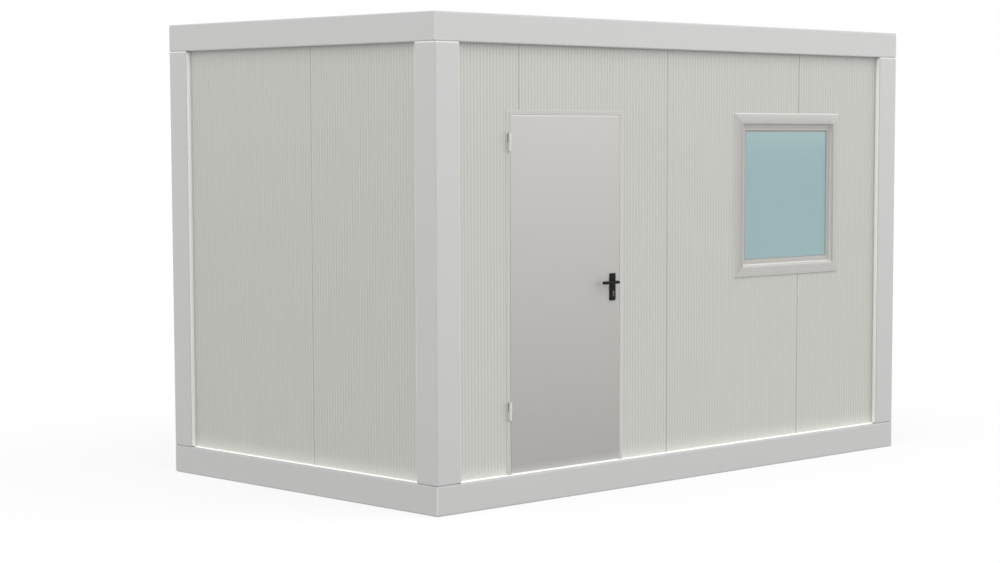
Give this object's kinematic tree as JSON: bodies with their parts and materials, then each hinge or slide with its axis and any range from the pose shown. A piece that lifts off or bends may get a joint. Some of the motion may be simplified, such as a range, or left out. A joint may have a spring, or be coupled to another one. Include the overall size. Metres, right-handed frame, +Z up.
{
  "type": "office container",
  "caption": "Single site office cabin: folded steel frame, ribbed sandwich-panel walls, an outward-opening door with lever handle and a square window",
  "frame": {"origin": "middle of the base frame's footprint, on the ground plane", "axes": "+X to the right along the front wall with the door, +Y to the back, +Z up"},
  "size_m": [4, 2.431, 2.7],
  "materials": {
    "frame_paint": "satin paint on folded steel",
    "panel_paint": "satin coil coating on ribbed sheet",
    "roof_paint": "satin coil coating",
    "galvanised": "galvanised",
    "deck_board": "pressed board",
    "vinyl": "matt vinyl",
    "door_paint": "satin paint",
    "hinge_metal": "satin paint",
    "window_plastic": "smooth window plastic",
    "window_pane": "tinted insulating glass",
    "handle_plastic": "satin black plastic",
    "lock_metal": "nickelled"
  },
  "bodies": {
    "root": {"base_beam_front": "frame_paint", "base_beam_back": "frame_paint", "base_beam_left": "frame_paint", "base_beam_right": "frame_paint", "roof_beam_front": "frame_paint", "roof_beam_back": "frame_paint", "roof_beam_left": "frame_paint", "roof_beam_right": "frame_paint", "corner_post_front_left": "frame_paint", "corner_post_front_right": "frame_paint", "corner_post_back_left": "frame_paint", "corner_post_back_right": "frame_paint", "floor_joists": "galvanised", "underfloor_sheet": "galvanised", "floor_deck": "deck_board", "floor_covering": "vinyl", "roof_panel_1": "roof_paint", "roof_panel_2": "roof_paint", "roof_panel_3": "roof_paint", "roof_panel_4": "roof_paint", "front_panel_1": "panel_paint", "front_panel_2": "panel_paint", "front_panel_3": "panel_paint", "front_panel_4": "panel_paint", "over_door_panels": "panel_paint", "under_window_panels": "panel_paint", "over_window_panels": "panel_paint", "back_panel_1": "panel_paint", "back_panel_2": "panel_paint", "back_panel_3": "panel_paint", "back_panel_4": "panel_paint", "left_panel_1": "panel_paint", "left_panel_2": "panel_paint", "right_panel_1": "panel_paint", "right_panel_2": "panel_paint", "door_jamb_hinge_side": "door_paint", "door_jamb_lock_side": "door_paint", "door_head": "door_paint", "hinge_frame_halves": "hinge_metal", "window_trim_left": "window_plastic", "window_trim_top": "window_plastic", "window_trim_right": "window_plastic", "window_trim_bottom": "window_plastic", "window_casing": "window_plastic", "window_sash": "window_plastic", "window_glass": "window_pane"},
    "door": {"door_leaf": "door_paint", "hinge_leaf_halves": "hinge_metal", "handle_plates": "handle_plastic", "lock_cylinder": "lock_metal"},
    "lever": {"door_levers": "handle_plastic"}
  },
  "joints": [
    {"name": "door_hinge", "type": "hinge", "parent": "root", "child": "door", "pos_m": [-1.444, -1.184, 1.17], "axis": [0, 0, -1], "range_deg": [0, 170]},
    {"name": "lever_turn", "type": "hinge", "parent": "door", "child": "lever", "pos_m": [-0.628, -1.155, 1.204], "axis": [0, -1, 0], "range_deg": [0, 40], "stiffness_Nm_per_rad": 2, "springref_deg": -28.65}
  ]
}
